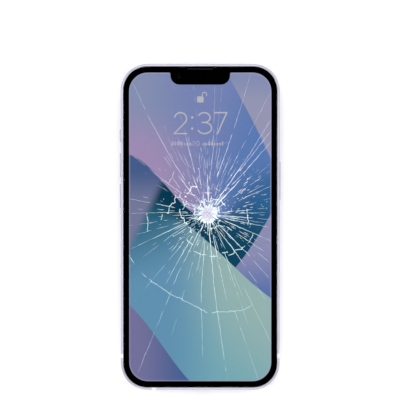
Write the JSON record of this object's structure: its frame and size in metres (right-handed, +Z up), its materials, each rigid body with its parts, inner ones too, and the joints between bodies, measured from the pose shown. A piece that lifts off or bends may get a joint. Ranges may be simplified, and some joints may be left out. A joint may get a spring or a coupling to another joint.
{
  "type": "shattered screen phone",
  "caption": "Touchscreen phone lying on its back, screen lit, with a cover glass shattered from one impact point, side buttons, a mute switch and a pull-out card tray.",
  "frame": {"origin": "middle of the phone's outline, on the surface it lies on", "axes": "+Y towards the phone's top edge, +X to the phone's right seen from the front, +Z up out of the screen; the phone leans back by about a degree on its rear lens rings and its lower rear edge"},
  "size_m": [0.0724, 0.1468, 0.01],
  "materials": {
    "cover_glass": "polished, with a shattered area of fine white cracks",
    "display_panel": "smooth, lit from behind in soft blue and violet fields",
    "steel_sheet": "rolled sheet",
    "bright_steel": "bright turned",
    "dark_mesh": "fine woven mesh",
    "black_plastic": "fine moulded texture",
    "black_rubber": "matt",
    "amber_film": "smooth film",
    "camera_body": "fine matt",
    "frame_aluminium": "satin, very pale lavender silver",
    "band_plastic": "fine matt",
    "rear_glass": "polished, with a pale backing print",
    "lens_glass": "polished, coated",
    "flash_lens": "moulded",
    "flash_emitter": "smooth",
    "gilt_can": "plated",
    "battery_wrap": "foil pouch, fine matt",
    "white_tape": "stretch tape",
    "coil_copper": "lacquered wire, wound flat",
    "ferrite": "fine matt",
    "board_laminate": "solder mask over copper tracks",
    "chip_resin": "moulded resin",
    "card_plastic": "smooth"
  },
  "bodies": {
    "phone": {"cover_glass": "cover_glass", "earpiece_mesh": "dark_mesh", "display_panel": "display_panel", "display_back_plate": "steel_sheet", "display_frame": "black_plastic", "screen_seal": "black_rubber", "display_flex": "amber_film", "front_camera": "camera_body", "infrared_camera": "camera_body", "dot_projector": "camera_body", "proximity_sensor": "camera_body", "earpiece_speaker": "black_plastic", "sensor_bracket": "steel_sheet", "side_frame": "frame_aluminium", "antenna_bands": "band_plastic", "rear_glass": "rear_glass", "camera_cover": "rear_glass", "lens_rings": "frame_aluminium", "lens_windows": "lens_glass", "flash_window": "flash_lens", "wide_camera": "camera_body", "ultra_wide_camera": "camera_body", "camera_bracket": "steel_sheet", "flash_module": "flash_emitter", "rear_microphone": "gilt_can", "battery": "battery_wrap", "battery_adhesive": "white_tape", "battery_flex": "amber_film", "charging_coil": "coil_copper", "coil_shield": "ferrite", "main_board": "board_laminate", "board_chips": "chip_resin", "board_shields": "steel_sheet", "board_connectors": "chip_resin", "connector_cover": "steel_sheet", "board_screws": "bright_steel", "antenna_flex": "amber_film", "charge_port": "bright_steel", "port_seal": "black_rubber", "port_flex": "amber_film", "loudspeaker": "black_plastic", "vibration_motor": "steel_sheet", "bottom_microphone": "gilt_can", "bottom_meshes": "dark_mesh", "bottom_screws": "bright_steel", "mute_switch_base": "black_plastic", "button_domes": "bright_steel", "left_button_flex": "amber_film", "right_button_flex": "amber_film", "left_button_bracket": "steel_sheet", "right_button_bracket": "steel_sheet", "sim_reader": "steel_sheet"},
    "volume_up": {"volume_up_button": "frame_aluminium"},
    "volume_down": {"volume_down_button": "frame_aluminium"},
    "power": {"power_button": "frame_aluminium"},
    "mute": {"mute_switch": "frame_aluminium"},
    "tray": {"sim_tray": "frame_aluminium", "sim_tray_seal": "black_rubber", "sim_card": "card_plastic"}
  },
  "joints": [
    {"name": "volume_up_press", "type": "slide", "parent": "phone", "child": "volume_up", "axis": [1, 0, 0], "range_m": [0, 0.00025], "stiffness_N_per_m": 8000},
    {"name": "volume_down_press", "type": "slide", "parent": "phone", "child": "volume_down", "axis": [1, 0, 0], "range_m": [0, 0.00025], "stiffness_N_per_m": 8000},
    {"name": "power_press", "type": "slide", "parent": "phone", "child": "power", "axis": [-1, 0, 0], "range_m": [0, 0.00025], "stiffness_N_per_m": 8000},
    {"name": "mute_slide", "type": "slide", "parent": "phone", "child": "mute", "axis": [0, 0.0162, -0.9999], "range_m": [0, 0.0013]},
    {"name": "tray_slide", "type": "slide", "parent": "phone", "child": "tray", "axis": [-1, 0, 0], "range_m": [0, 0.016]}
  ]
}
